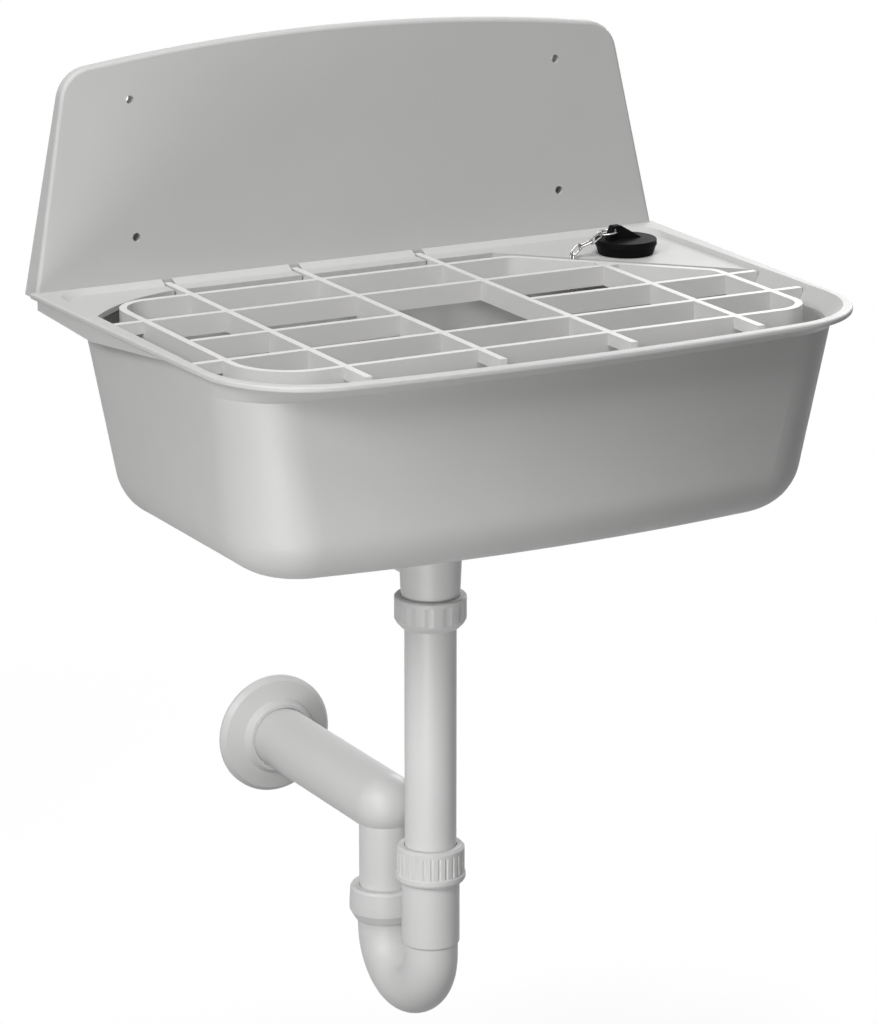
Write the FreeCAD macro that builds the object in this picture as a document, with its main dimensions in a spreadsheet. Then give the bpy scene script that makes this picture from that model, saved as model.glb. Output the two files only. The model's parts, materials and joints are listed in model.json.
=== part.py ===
"""Wall-hung plastic utility sink with lay-in grate, plug on a chain, overflow and tubular trap.

Frame: X to the right, Y towards the wall, Z up, millimetres. The wall plane is y = 0 and the origin
is the middle of the four wall screw holes. Heights in the sheet are counted from the top of the rim.
"""
import FreeCAD, Part
import math
import os
import Sketcher

Vector = FreeCAD.Vector

SIZES = {
    # rim and splashback
    "rim_drop": 85.0,
    "rim_half_rear": 269.0,
    "rim_half_front": 258.5,
    "rim_rear": 17.0,
    "rim_front": 366.0,
    "rim_bow": 18.0,
    "rim_corner": 82.0,
    "rim_thick": 4.5,
    "rim_edge": 1.6,
    "panel_half_foot": 266.0,
    "panel_half_top": 234.0,
    "panel_side_height": 160.5,
    "panel_arch": 17.2,
    "panel_corner": 26.0,
    "panel_foot_depth": 20.0,
    "panel_top_depth": 7.0,
    "panel_wall": 3.5,
    "panel_edge": 3.0,
    "screw_span": 364.0,
    "screw_rise": 103.0,
    "screw_hole": 6.5,
    "screw_boss": 16.0,
    "skirt_rear": 10.0,
    "skirt_middle": 100.0,
    "skirt_front": 220.0,
    "skirt_rear_depth": 11.0,
    "skirt_depth": 16.0,
    "skirt_wall": 3.0,
    "skirt_inset": 1.0,
    # bowl
    "mouth_half": 255.0,
    "mouth_rear": 22.0,
    "mouth_front": 376.0,
    "throat_half": 248.0,
    "throat_rear": 49.0,
    "throat_front": 343.0,
    "throat_depth": 14.0,
    "side_taper": 21.0,
    "rear_taper": 26.0,
    "front_taper": 5.0,
    "bowl_depth": 156.0,
    "bowl_wall": 4.0,
    "mouth_rear_corner": 26.0,
    "mouth_front_corner": 78.0,
    "throat_rear_corner": 38.0,
    "throat_front_corner": 46.0,
    "floor_rear_corner": 30.0,
    "floor_front_corner": 60.0,
    "floor_round": 38.0,
    "mouth_sweep": 2000.0,
    "throat_sweep": 1900.0,
    "floor_sweep": 1100.0,
    "deck_front": 44.5,
    "deck_left": 166.0,
    "deck_side": 98.0,
    "deck_sweep": 153.0,
    "beam_left": 190.0,
    "beam_right": 100.0,
    "beam_depth": 10.0,
    "notch_side": 1.5,
    "notch_front": 50.5,
    "shelf_reach": 63.0,
    "shelf_side": 252.5,
    "shelf_front": 190.0,
    "shelf_rear": 28.0,
    "shelf_drop": 3.5,
    "shelf_thick": 4.0,
    "shelf_lip": 18.0,
    # lay-in grate
    "grate_top": 2.5,
    "rib_depth": 15.0,
    "rib_thick": 5.6,
    "tab_depth": 9.0,
    "rear_tab_depth": 6.5,
    "column_pitch": 106.5,
    "band_half": 226.0,
    "row_rear": 66.0,
    "row_second": 127.0,
    "row_middle": 197.5,
    "row_fourth": 260.0,
    "row_front": 316.0,
    "band_corner": 46.0,
    "band_right_corner": 26.0,
    "band_shelf_corner": 14.0,
    "diagonal_reach": 45.0,
    "band_rear_corner": 28.0,
    "side_tab_reach": 251.5,
    "front_tab_reach": 351.0,
    "rear_tab_reach": 22.0,
    "seat_clearance": 0.4,
    # drain
    "drain_y": 143.0,
    "drain_hole": 50.0,
    "drain_flange": 70.0,
    "seal_thick": 2.0,
    "strainer_cup": 48.4,
    "strainer_sheet": 1.6,
    "strainer_depth": 9.0,
    "strainer_slot": 7.0,
    "strainer_slot_circle": 14.5,
    "drain_screw_shank": 6.0,
    "drain_screw_head": 12.0,
    "drain_screw_length": 24.0,
    "body_flange_thick": 5.0,
    "body_top": 51.0,
    "body_bottom": 45.4,
    "body_end": 246.0,
    "body_bore": 39.0,
    "branch_height": 215.0,
    "branch_outer": 32.0,
    "branch_bore": 23.0,
    "branch_reach": 62.0,
    "hose_socket": 14.0,
    # tubular trap
    "tube_outer": 40.0,
    "tube_wall": 2.0,
    "tube_flange": 44.4,
    "tube_flange_thick": 3.0,
    "tube_end": 500.0,
    "nut_outer": 55.6,
    "nut_top": 238.0,
    "nut_height": 25.0,
    "nut_chamfer": 7.0,
    "nut_flutes": 12.0,
    "nut_groove": 14.0,
    "inlet_flutes": 28.0,
    "inlet_groove": 1.6,
    "flute_depth": 0.7,
    "running_gap": 0.4,
    "inlet_nut_top": 439.0,
    "inlet_nut_height": 28.0,
    "inlet_nut_outer": 52.6,
    "inlet_nut_collar": 54.4,
    "outlet_nut_top": 497.0,
    "outlet_nut_height": 27.0,
    "socket_outer": 45.0,
    "socket_end": 518.0,
    "bend_outer": 42.4,
    "bend_wall": 2.4,
    "leg_spacing": 77.0,
    "bend_centre": 530.0,
    "seal_height": 6.0,
    "leg_outer": 40.0,
    "pipe_outer": 50.0,
    "pipe_wall": 2.5,
    "pipe_height": 430.0,
    "pipe_end": 155.0,
    "spigot_outer": 49.2,
    "spigot_length": 21.5,
    "rosette_outer": 98.0,
    "rosette_collar": 60.0,
    "rosette_rise": 17.0,
    "rosette_sheet": 1.8,
    "rosette_at": 131.0,
    # overflow
    "overflow_height": 48.0,
    "overflow_hole": 26.0,
    "overflow_face": 38.0,
    "overflow_face_thick": 3.0,
    "overflow_neck": 23.8,
    "overflow_bore": 19.0,
    "overflow_reach": 30.0,
    "overflow_slot": 4.0,
    "overflow_seal_gap": 0.15,
    "overflow_slot_circle": 6.5,
    "overflow_screw_shank": 4.0,
    "overflow_screw_head": 7.0,
    "hose_outer": 28.0,
    "hose_bore": 24.2,
    "hose_y": 19.0,
    "hose_top": 78.0,
    "hose_round": 34.0,
    "chain_eye": 4.0,
    # plug and chain
    "plug_x": 198.0,
    "plug_y": 94.0,
    "plug_outer": 48.0,
    "plug_foot": 43.0,
    "plug_height": 11.5,
    "plug_gap": 0.3,
    "lug_height": 11.0,
    "lug_width": 30.0,
    "lug_thick": 6.0,
    "lug_hole": 5.0,
    "ring_mean": 7.0,
    "ring_wire": 1.8,
    "link_pitch": 9.6,
    "link_slack": 0.5,
    "link_width": 6.2,
    "link_wire": 1.5,
    "gap_cross": 153.5,
    "gap_middle": 4.9,
    "chain_sag": 108.0,
    "crest_out": 10.0,
    "crest_front": 1.5,
    "crest_rise": 6.5,
    "edge_out": 2.5,
    "edge_front": 0.5,
    "edge_rise": 2.8,
    "turn_in": 3.2,
    "turn_drop": 3.0,
    "gap_drop": 13.0,
    "hang_in": 0.5,
    "hang_drop": 32.0,
    "swing_in": 18.0,
    "swing_back": 4.0,
    "swing_drop": 72.0,
    "eye_out": 15.0,
    "eye_front": 5.0,
    "eye_drop": 28.0,
}

doc = FreeCAD.newDocument("utility_sink")
sheet = doc.addObject("Spreadsheet::Sheet", "Dim")
for row, (name, size) in enumerate(SIZES.items(), start=1):
    sheet.set("A%d" % row, name)
    sheet.set("B%d" % row, str(size))
    sheet.setAlias("B%d" % row, name)
doc.recompute()

RIM = "-Dim.rim_drop"
DRAIN = ("0", "-Dim.drain_y", RIM)
OUTLET = ("0", "-Dim.drain_y + Dim.leg_spacing", RIM)
parts = []


def value(text):
    return float(sheet.evalExpression(text))


def bind(thing, **expressions):
    """Tie properties to sheet expressions."""
    for path, text in expressions.items():
        thing.setExpression(path.replace("__", "."), text)


def place(thing, at):
    """Tie an object's position to three sheet expressions."""
    for axis, text in zip("xyz", at):
        thing.setExpression("Placement.Base." + axis, text)


def keep(thing, label):
    """Name a finished sub-part."""
    thing.Label = label
    parts.append(thing)
    return thing


def new_body(name, at=("0", "0", RIM)):
    body = doc.addObject("PartDesign::Body", name)
    place(body, at)
    return body


def new_sketch(body, name, plane, offset=None):
    sketch = body.newObject("Sketcher::SketchObject", name)
    support = [feature for feature in body.Origin.OriginFeatures if feature.Role == plane][0]
    sketch.AttachmentSupport = [(support, "")]
    sketch.MapMode = "FlatFace"
    if offset:
        sketch.setExpression("AttachmentOffset.Base.z", offset)
    return sketch


def drive(sketch, kind, *where, text):
    """Add a dimension that follows a sheet expression."""
    index = sketch.addConstraint(Sketcher.Constraint(kind, *where, value(text)))
    sketch.setExpression("Constraints[%d]" % index, text)


def outline(body, name, plane, corners, offset=None, bowed=None):
    """Closed outline through corners; bowed = (side, radius) turns one side into an outward arc."""
    sketch = new_sketch(body, name, plane, offset)
    points = [Vector(value(x), value(y), 0) for x, y in corners]
    count = len(points)
    ends = []
    for side in range(count):
        start, end = points[side], points[(side + 1) % count]
        if bowed and bowed[0] == side:
            radius = value(bowed[1])
            chord = end - start
            sag = radius - math.sqrt(radius ** 2 - (chord.Length / 2) ** 2)
            outward = Vector(chord.y, -chord.x, 0).normalize()
            middle = (start + end) / 2 + outward * sag
            sketch.addGeometry(Part.Arc(start, middle, end), False)
            first = sketch.getPoint(side, 1)
            ends.append((1, 2) if first.distanceToPoint(start) < 1e-6 else (2, 1))
        else:
            sketch.addGeometry(Part.LineSegment(start, end), False)
            ends.append((1, 2))
    for side in range(count):
        following = (side + 1) % count
        sketch.addConstraint(Sketcher.Constraint("Coincident", side, ends[side][1], following, ends[following][0]))
    for side, (x, y) in enumerate(corners):
        drive(sketch, "DistanceX", -1, 1, side, ends[side][0], text=x)
        drive(sketch, "DistanceY", -1, 1, side, ends[side][0], text=y)
    if bowed:
        drive(sketch, "Radius", bowed[0], text=bowed[1])
    return sketch


def rounded(body, name, offset, half, rear, front, rear_corner, front_corner, front_sweep):
    """Rounded outline at one height: straight sides and rear, front swept outwards to y = -front."""
    sketch = new_sketch(body, name, "XY_Plane", offset)
    side, back, face = value(half), -value(rear), -value(front)
    big, small, sweep = value(front_corner), value(rear_corner), value(front_sweep)
    middle = face + sweep
    level = middle - math.sqrt((sweep - big) ** 2 - (side - big) ** 2)
    lean = math.degrees(math.atan2(level - middle, side - big))
    turns = [
        (0, middle, sweep, -180 - lean, lean),
        (side - big, level, big, lean, 0),
        (side - small, back - small, small, 0, 90),
        (small - side, back - small, small, 90, 180),
        (big - side, level, big, 180, 180 - lean),
    ]
    arcs = []
    for x, y, radius, first, last in turns:
        circle = Part.Circle(Vector(x, y, 0), Vector(0, 0, 1), radius)
        arcs.append(Part.ArcOfCircle(circle, math.radians(first), math.radians(last)))
    right_side = Part.LineSegment(Vector(side, level, 0), Vector(side, back - small, 0))
    rear_side = Part.LineSegment(Vector(side - small, back, 0), Vector(small - side, back, 0))
    left_side = Part.LineSegment(Vector(-side, back - small, 0), Vector(-side, level, 0))
    for edge in (arcs[0], arcs[1], right_side, arcs[2], rear_side, arcs[3], left_side, arcs[4]):
        sketch.addGeometry(edge, False)
    for edge in range(8):
        sketch.addConstraint(Sketcher.Constraint("Tangent", edge, 2, (edge + 1) % 8, 1))
    for line, kind in ((2, "Vertical"), (4, "Horizontal"), (6, "Vertical")):
        sketch.addConstraint(Sketcher.Constraint(kind, line))
    sketch.addConstraint(Sketcher.Constraint("PointOnObject", 0, 3, -2))
    drive(sketch, "DistanceY", -1, 1, 0, 3, text="%s - (%s)" % (front_sweep, front))
    drive(sketch, "DistanceX", -1, 1, 2, 1, text=half)
    drive(sketch, "DistanceY", -1, 1, 4, 1, text="-(%s)" % rear)
    drive(sketch, "DistanceX", -1, 1, 6, 1, text="-(%s)" % half)
    radii = ((0, front_sweep), (1, front_corner), (3, rear_corner), (5, rear_corner), (7, front_corner))
    for arc, text in radii:
        drive(sketch, "Radius", arc, text=text)
    return sketch


def pad(body, sketch, length, reverse=False, middle=False):
    feature = body.newObject("PartDesign::Pad", sketch.Name + "_pad")
    feature.Profile = sketch
    feature.Reversed = reverse
    feature.Midplane = middle
    bind(feature, Length=length)
    doc.recompute()
    return feature


def pocket(body, sketch, length, middle=True):
    """Cut with a sketch and make sure that the cut removed something."""
    before = body.Shape.Volume
    feature = body.newObject("PartDesign::Pocket", sketch.Name + "_pocket")
    feature.Profile = sketch
    feature.Midplane = middle
    bind(feature, Length=length)
    doc.recompute()
    if body.Shape.Volume >= before:
        raise RuntimeError("pocket %s cut nothing" % feature.Name)
    return feature


def round_edges(body, name, radius, chosen):
    """Fillet the edges of the body's last feature that the test picks."""
    last = body.Tip
    edges = ["Edge%d" % (index + 1) for index, edge in enumerate(last.Shape.Edges) if chosen(edge)]
    feature = body.newObject("PartDesign::Fillet", name)
    feature.Base = (last, edges)
    bind(feature, Radius=radius)
    doc.recompute()
    return feature


def upright(edge):
    direction = edge.Vertexes[-1].Point - edge.Vertexes[0].Point
    return direction.Length > 1e-6 and abs(direction.z) > 0.9 * direction.Length


def sharp_upright(edge, body):
    """Upright edge between two flat faces of the body's last feature."""
    if not upright(edge):
        return False
    faces = [face for face in body.Tip.Shape.Faces if any(edge.isSame(other) for other in face.Edges)]
    return all(isinstance(face.Surface, Part.Plane) for face in faces)


def at_height(height):
    return lambda edge: all(abs(point.z - height) < 1e-4 for point in edge.discretize(4))


def lathe(label, profile, at, kept=True):
    """Solid of revolution about the body's Z axis from (radius, height) expressions."""
    body = new_body(label + "_form" if not kept else label + "_body", at)
    sketch = outline(body, label + "_profile", "XZ_Plane", profile)
    feature = body.newObject("PartDesign::Revolution", label + "_turn")
    feature.Profile = sketch
    feature.ReferenceAxis = (sketch, ["V_Axis"])
    feature.Angle = 360.0
    doc.recompute()
    if kept:
        keep(body, label)
    return body


def fuse(name, shapes):
    feature = doc.addObject("Part::MultiFuse", name)
    feature.Shapes = shapes
    feature.Refine = True
    doc.recompute()
    return feature


def cut(name, base, tool):
    feature = doc.addObject("Part::Cut", name)
    feature.Base = base
    feature.Tool = tool
    feature.Refine = True
    doc.recompute()
    return feature


def cylinder(name, radius, height, at, axis="z"):
    """Cylinder from a point along +Z, or along +Y or -Y."""
    feature = doc.addObject("Part::Cylinder", name)
    bind(feature, Radius=radius, Height=height)
    turn = {"z": 0, "y": -90, "-y": 90}[axis]
    feature.Placement = FreeCAD.Placement(Vector(), FreeCAD.Rotation(Vector(1, 0, 0), turn))
    place(feature, at)
    return feature


def box(name, low, size):
    feature = doc.addObject("Part::Box", name)
    bind(feature, Length=size[0], Width=size[1], Height=size[2])
    place(feature, low)
    return feature


# basin moulding: rim plate
rim = new_body("rim")
bow_radius = "(Dim.rim_half_front^2 + Dim.rim_bow^2) / (2 * Dim.rim_bow)"
rim_sketch = outline(rim, "rim_outline", "XY_Plane", [
    ("-Dim.rim_half_front", "-Dim.rim_front"),
    ("Dim.rim_half_front", "-Dim.rim_front"),
    ("Dim.rim_half_rear", "-Dim.rim_rear"),
    ("-Dim.rim_half_rear", "-Dim.rim_rear"),
], bowed=(0, bow_radius))
pad(rim, rim_sketch, "Dim.rim_thick", reverse=True)
round_edges(rim, "rim_corners", "Dim.rim_corner",
            lambda edge: upright(edge) and edge.CenterOfMass.y < -value("Dim.rim_front") / 2)
rear_line = -value("Dim.rim_rear")
round_edges(rim, "rim_lip", "Dim.rim_edge",
            lambda edge: not upright(edge) and edge.CenterOfMass.y < rear_line - 1)


BOWL_LEVELS = {
    "mouth": ("Dim.mouth_half", "Dim.mouth_rear", "Dim.mouth_front"),
    "throat": ("Dim.throat_half", "Dim.throat_rear", "Dim.throat_front"),
    "floor": ("Dim.throat_half - Dim.side_taper", "Dim.throat_rear + Dim.rear_taper",
              "Dim.throat_front - Dim.front_taper"),
}


def bowl_form(name, grow, top, extra_floor):
    """Flared mouth over a tapered bowl; grow is the offset outwards."""
    body = new_body(name)
    levels = [("mouth", top), ("throat", "-Dim.throat_depth + (%s)" % top), ("floor", extra_floor)]
    sketches = []
    for level, height in levels:
        half, rear, front = BOWL_LEVELS[level]
        widen = "0" if level == "mouth" else grow
        sketches.append(rounded(
            body, "%s_%s" % (name, level), height,
            "%s + %s" % (half, widen),
            "%s - (%s)" % (rear, widen),
            "%s + %s" % (front, widen),
            "Dim.%s_rear_corner + %s" % (level, widen),
            "Dim.%s_front_corner + %s" % (level, widen),
            "Dim.%s_sweep + %s" % (level, widen)))
    loft = body.newObject("PartDesign::AdditiveLoft", name + "_loft")
    loft.Profile = sketches[0]
    loft.Sections = sketches[1:]
    loft.Ruled = True
    doc.recompute()
    round_edges(body, name + "_floor_round", "Dim.floor_round + %s" % grow, at_height(value(extra_floor)))
    return body


bowl_outside = bowl_form("bowl_outside", "Dim.bowl_wall", "-Dim.rim_thick", "-Dim.bowl_depth - Dim.bowl_wall")
bowl_inside = bowl_form("bowl_inside", "0", "0", "-Dim.bowl_depth")


def panel_form(name, inset):
    """Splashback block: arched front outline, leaning front face."""
    body = new_body(name)
    arch_half = "(Dim.panel_half_top - %s)" % inset
    arch_radius = "(%s^2 + Dim.panel_arch^2) / (2 * Dim.panel_arch)" % arch_half
    foot = "-Dim.rim_thick + %s" % inset
    head = "Dim.panel_side_height - %s" % inset
    sketch = outline(body, name + "_front", "XZ_Plane", [
        ("-Dim.panel_half_foot + %s" % inset, foot),
        ("Dim.panel_half_foot - %s" % inset, foot),
        (arch_half, head),
        ("-" + arch_half, head),
    ], bowed=(2, arch_radius))
    pad(body, sketch, "Dim.panel_foot_depth + Dim.panel_wall")
    lean = outline(body, name + "_lean", "YZ_Plane", [
        ("-Dim.panel_foot_depth + %s" % inset, "0"),
        ("-Dim.panel_top_depth + %s" % inset, "Dim.panel_side_height + Dim.panel_arch"),
        ("-3 * Dim.panel_foot_depth", "Dim.panel_side_height + Dim.panel_arch"),
        ("-3 * Dim.panel_foot_depth", "-3 * Dim.rim_thick"),
        ("-Dim.panel_foot_depth + %s" % inset, "-3 * Dim.rim_thick"),
    ])
    pocket(body, lean, "3 * Dim.panel_half_foot")
    corner_level = value("Dim.panel_side_height") * 0.8
    round_edges(body, name + "_corners", "Dim.panel_corner - %s" % inset,
                lambda edge: edge.CenterOfMass.z > corner_level and edge.BoundBox.YLength > edge.BoundBox.XLength)
    return body


panel_outside = panel_form("panel_outside", "0")
foot_height = value("Dim.rim_thick")
round_edges(panel_outside, "panel_edge_round", "Dim.panel_edge",
            lambda edge: edge.CenterOfMass.y < -1 and edge.BoundBox.YMax < -1
            and abs(edge.CenterOfMass.z) > 2 * foot_height)
panel_hollow = panel_form("panel_hollow", "Dim.panel_wall")


def side_skirt(name, side):
    """Down-turned stiffening edge under one side of the rim, along the rim's taper."""
    across = "%d * (Dim.rim_half_rear - Dim.skirt_inset - Dim.skirt_wall / 2)" % side
    body = new_body(name, (across, "-Dim.rim_rear", RIM))
    sketch = outline(body, name + "_profile", "YZ_Plane", [
        ("-Dim.skirt_rear", "-Dim.rim_thick / 2"),
        ("-Dim.skirt_rear", "-Dim.skirt_rear_depth"),
        ("-Dim.skirt_middle", "-Dim.skirt_depth"),
        ("-Dim.skirt_front", "-Dim.rim_thick"),
        ("-Dim.skirt_front", "-Dim.rim_thick / 2"),
    ])
    pad(body, sketch, "Dim.skirt_wall", middle=True)
    body.Placement = FreeCAD.Placement(body.Placement.Base, FreeCAD.Rotation(Vector(0, 0, -side), 1))
    taper = "(Dim.rim_half_rear - Dim.rim_half_front) / (Dim.rim_front - Dim.rim_rear)"
    bind(body, Placement__Rotation__Angle="atan(%s)" % taper)
    doc.recompute()
    return body


skirts = [side_skirt("skirt_left", -1), side_skirt("skirt_right", 1)]

# rear deck and corner shelf: one level plate around the opening that the grate fills
deck_low = RIM + " - Dim.shelf_drop - Dim.shelf_thick"
deck_plate = box("deck_plate", ("-Dim.shelf_side", "-Dim.shelf_front", deck_low),
                 ("2 * Dim.shelf_side", "Dim.shelf_front - Dim.shelf_rear", "Dim.shelf_thick"))
deck_opening = new_body("deck_opening")
opening_sketch = outline(deck_opening, "deck_opening_outline", "XY_Plane", [
    ("-Dim.rim_half_rear", "-Dim.rim_front"),
    ("Dim.shelf_reach + Dim.rim_front", "-Dim.rim_front"),
    ("Dim.shelf_reach + Dim.deck_front", "-Dim.deck_front"),
    ("-Dim.deck_left", "-Dim.deck_front"),
    ("-Dim.shelf_side", "-Dim.deck_side"),
], bowed=(3, "Dim.deck_sweep"))
pad(deck_opening, opening_sketch, "2 * (Dim.shelf_drop + Dim.shelf_thick)", reverse=True)
deck = cut("deck", deck_plate, deck_opening)
deck_beam = box("deck_beam",
                ("-Dim.beam_left", "-Dim.deck_front + Dim.seat_clearance", RIM + " - Dim.shelf_drop - Dim.beam_depth"),
                ("Dim.beam_left + Dim.beam_right",
                 "Dim.deck_front - Dim.seat_clearance - Dim.rim_rear - Dim.skirt_inset", "Dim.beam_depth"))
shelf_lip = new_body("shelf_lip", ("0", "0", RIM + " - Dim.shelf_drop"))
lip_side = "(Dim.shelf_side - Dim.bowl_wall - Dim.shelf_lip / 2)"
lip_rear = "(Dim.throat_rear + Dim.bowl_wall / 2)"
lip_sketch = outline(shelf_lip, "shelf_lip_outline", "XY_Plane", [
    ("Dim.shelf_reach + %s" % lip_rear, "-" + lip_rear),
    (lip_side, "-%s + Dim.shelf_reach" % lip_side),
    (lip_side, "-%s + Dim.shelf_reach + Dim.bowl_wall" % lip_side),
    ("Dim.shelf_reach + %s + Dim.bowl_wall" % lip_rear, "-" + lip_rear),
])
pad(shelf_lip, lip_sketch, "Dim.shelf_lip", reverse=True)

columns = {"outer_left": "-1.5", "inner_left": "-0.5", "inner_right": "0.5", "outer_right": "1.5"}
half_rib = "Dim.rib_thick / 2"
tab_low = "(Dim.grate_top + Dim.rear_tab_depth)"
notches = []
notch_spaces = []
for name, factor in columns.items():
    if name == "outer_right":
        continue
    notches.append(box("notch_" + name,
                       ("%s * Dim.column_pitch - %s - Dim.notch_side" % (factor, half_rib), "-Dim.notch_front",
                        "%s - %s - Dim.seat_clearance" % (RIM, tab_low)),
                       ("Dim.rib_thick + 2 * Dim.notch_side",
                        "Dim.notch_front - Dim.rear_tab_reach + Dim.notch_side", tab_low + " + Dim.rim_thick")))
    notch_spaces.append(box("notch_space_" + name,
                            ("%s * Dim.column_pitch - %s" % (factor, half_rib), "-Dim.notch_front",
                             "%s - %s" % (RIM, tab_low)),
                            ("Dim.rib_thick", "Dim.notch_front - Dim.rear_tab_reach", tab_low)))

bosses = []
screw_holes = []
for across in (-1, 1):
    for up in (-1, 1):
        spot = ("%d * Dim.screw_span / 2" % across, "0", "%d * Dim.screw_rise / 2" % up)
        tag = "%s_%s" % ("left" if across < 0 else "right", "low" if up < 0 else "high")
        height = "(Dim.rim_drop + %d * Dim.screw_rise / 2)" % up
        slope = "(Dim.panel_foot_depth - Dim.panel_top_depth) / (Dim.panel_side_height + Dim.panel_arch)"
        depth = "Dim.panel_foot_depth - %s * %s - Dim.panel_wall / 2" % (slope, height)
        bosses.append(cylinder("boss_" + tag, "Dim.screw_boss / 2", depth, spot, "-y"))
        screw_holes.append(cylinder("hole_" + tag, "Dim.screw_hole / 2", "2 * Dim.panel_foot_depth",
                                    (spot[0], "Dim.panel_wall", spot[2]), "-y"))

drain_hole = cylinder("drain_hole", "Dim.drain_hole / 2", "4 * Dim.bowl_wall",
                      ("0", "-Dim.drain_y", RIM + " - Dim.bowl_depth - 2 * Dim.bowl_wall"))
wall_run = "Dim.rear_taper"
wall_drop = "(Dim.bowl_depth - Dim.throat_depth)"
wall_angle = "atan(%s / %s)" % (wall_run, wall_drop)
overflow_y = "-Dim.throat_rear - %s * (Dim.overflow_height - Dim.throat_depth) / %s" % (wall_run, wall_drop)
OVERFLOW = ("0", overflow_y, RIM + " - Dim.overflow_height")


def tilt(thing):
    """Stand an object's Z axis square to the bowl's rear wall, pointing into the bowl."""
    thing.Placement = FreeCAD.Placement(thing.Placement.Base, FreeCAD.Rotation(Vector(1, 0, 0), 45))
    bind(thing, Placement__Rotation__Angle="90 deg - " + wall_angle)
    doc.recompute()
    return thing


overflow_hole = lathe("overflow_hole", [
    ("0", "-3 * Dim.bowl_wall"),
    ("Dim.overflow_hole / 2", "-3 * Dim.bowl_wall"),
    ("Dim.overflow_hole / 2", "3 * Dim.bowl_wall"),
    ("0", "3 * Dim.bowl_wall"),
], OVERFLOW, kept=False)
tilt(overflow_hole)

shell = fuse("basin_shell", [rim, bowl_outside, panel_outside] + skirts)
hollows = fuse("basin_hollows", [bowl_inside, panel_hollow])
hollowed = cut("basin_hollowed", shell, hollows)
fitted = fuse("basin_fitted", [hollowed, deck, deck_beam, shelf_lip] + bosses)
bores = fuse("basin_bores", screw_holes + notches + [drain_hole, overflow_hole])
keep(cut("basin_moulding", fitted, bores), "basin")


# lay-in grate
def rib(name, low_x, low_y, length, width, depth):
    return box(name, (low_x, low_y, RIM + " - Dim.grate_top - %s" % depth), (length, width, depth))


grid = []
for name, factor in columns.items():
    start_x = "%s * Dim.column_pitch - %s" % (factor, half_rib)
    rear = "(1.5 * Dim.column_pitch - Dim.diagonal_reach)" if name == "outer_right" else "Dim.row_rear"
    grid.append(rib("column_" + name, start_x, "-Dim.row_front", "Dim.rib_thick",
                    "Dim.row_front - %s" % rear, "Dim.rib_depth"))
    grid.append(rib("front_tab_" + name, start_x, "-Dim.front_tab_reach", "Dim.rib_thick",
                    "Dim.front_tab_reach - Dim.row_fourth", "Dim.tab_depth"))
    if name != "outer_right":
        grid.append(rib("rear_tab_" + name, start_x, "-Dim.row_second", "Dim.rib_thick",
                        "Dim.row_second - Dim.rear_tab_reach", "Dim.rear_tab_depth"))

outer_column = "1.5 * Dim.column_pitch"
left_tab = ("-Dim.side_tab_reach", "-" + outer_column, "tab")
right_tab = (outer_column, "Dim.side_tab_reach", "tab")
row_spans = {
    "second": [left_tab, ("-Dim.band_half", "Dim.row_second + Dim.diagonal_reach", "rib")],
    "middle": [("-Dim.band_half", "-0.5 * Dim.column_pitch", "rib"), ("0.5 * Dim.column_pitch", "Dim.band_half", "rib"),
               right_tab],
    "fourth": [left_tab, ("-Dim.band_half", "Dim.band_half", "rib"), right_tab],
}
for name, spans in row_spans.items():
    for number, (start, end, depth) in enumerate(spans):
        grid.append(rib("row_%s_%d" % (name, number), start, "-Dim.row_%s - %s" % (name, half_rib),
                        "%s - (%s)" % (end, start), "Dim.rib_thick", "Dim.%s_depth" % depth))


def band_form(name, grow):
    """Block inside the grate's outer band: rectangle with one corner cut off for the shelf."""
    body = new_body(name, ("0", "0", RIM + " - Dim.grate_top"))
    slant = "(%s) * (sqrt(2) - 1)" % grow
    sketch = outline(body, name + "_outline", "XY_Plane", [
        ("-Dim.band_half - (%s)" % grow, "-Dim.row_front - (%s)" % grow),
        ("Dim.band_half + %s" % grow, "-Dim.row_front - (%s)" % grow),
        ("Dim.band_half + %s" % grow, "-Dim.band_half + Dim.diagonal_reach + %s" % slant),
        ("Dim.diagonal_reach + Dim.row_rear + %s" % slant, "-Dim.row_rear + %s" % grow),
        ("-Dim.band_half - (%s)" % grow, "-Dim.row_rear + %s" % grow),
    ])
    pad(body, sketch, "Dim.rib_depth", reverse=True)
    middle_y, fourth_y = -value("Dim.row_middle"), -value("Dim.row_fourth")
    quarters = {
        "band_corner": lambda spot: spot.y < fourth_y and spot.x < 0,
        "band_right_corner": lambda spot: spot.y < fourth_y and spot.x > 0,
        "band_rear_corner": lambda spot: spot.y > middle_y and spot.x < 0,
        "band_shelf_corner": lambda spot: spot.y > middle_y and spot.x > 0,
    }
    for corner, inside in quarters.items():
        round_edges(body, "%s_%s" % (name, corner), "Dim.%s + %s" % (corner, grow),
                    lambda edge, inside=inside: sharp_upright(edge, body) and inside(edge.CenterOfMass))
    return body


band = cut("grate_band", band_form("band_outside", half_rib), band_form("band_inside", "-" + half_rib))
grid_all = fuse("grate_grid", grid + [band])


def seat_form():
    """Space of the bowl's flared mouth, less the clearance that the grate needs."""
    body = new_body("grate_seat")
    shrink = "Dim.seat_clearance"
    sketches = []
    for number, (level, height) in enumerate((("mouth", "0"), ("throat", "-Dim.throat_depth"),
                                              ("throat", "-2 * Dim.throat_depth"))):
        sketches.append(rounded(
            body, "seat_%d" % number, height, "Dim.%s_half - %s" % (level, shrink),
            "Dim.%s_rear + %s" % (level, shrink), "Dim.%s_front - %s" % (level, shrink),
            "Dim.%s_rear_corner" % level, "Dim.%s_front_corner" % level, "Dim.%s_sweep" % level))
    loft = body.newObject("PartDesign::AdditiveLoft", "seat_loft")
    loft.Profile = sketches[0]
    loft.Sections = sketches[1:]
    loft.Ruled = True
    doc.recompute()
    return body


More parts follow.
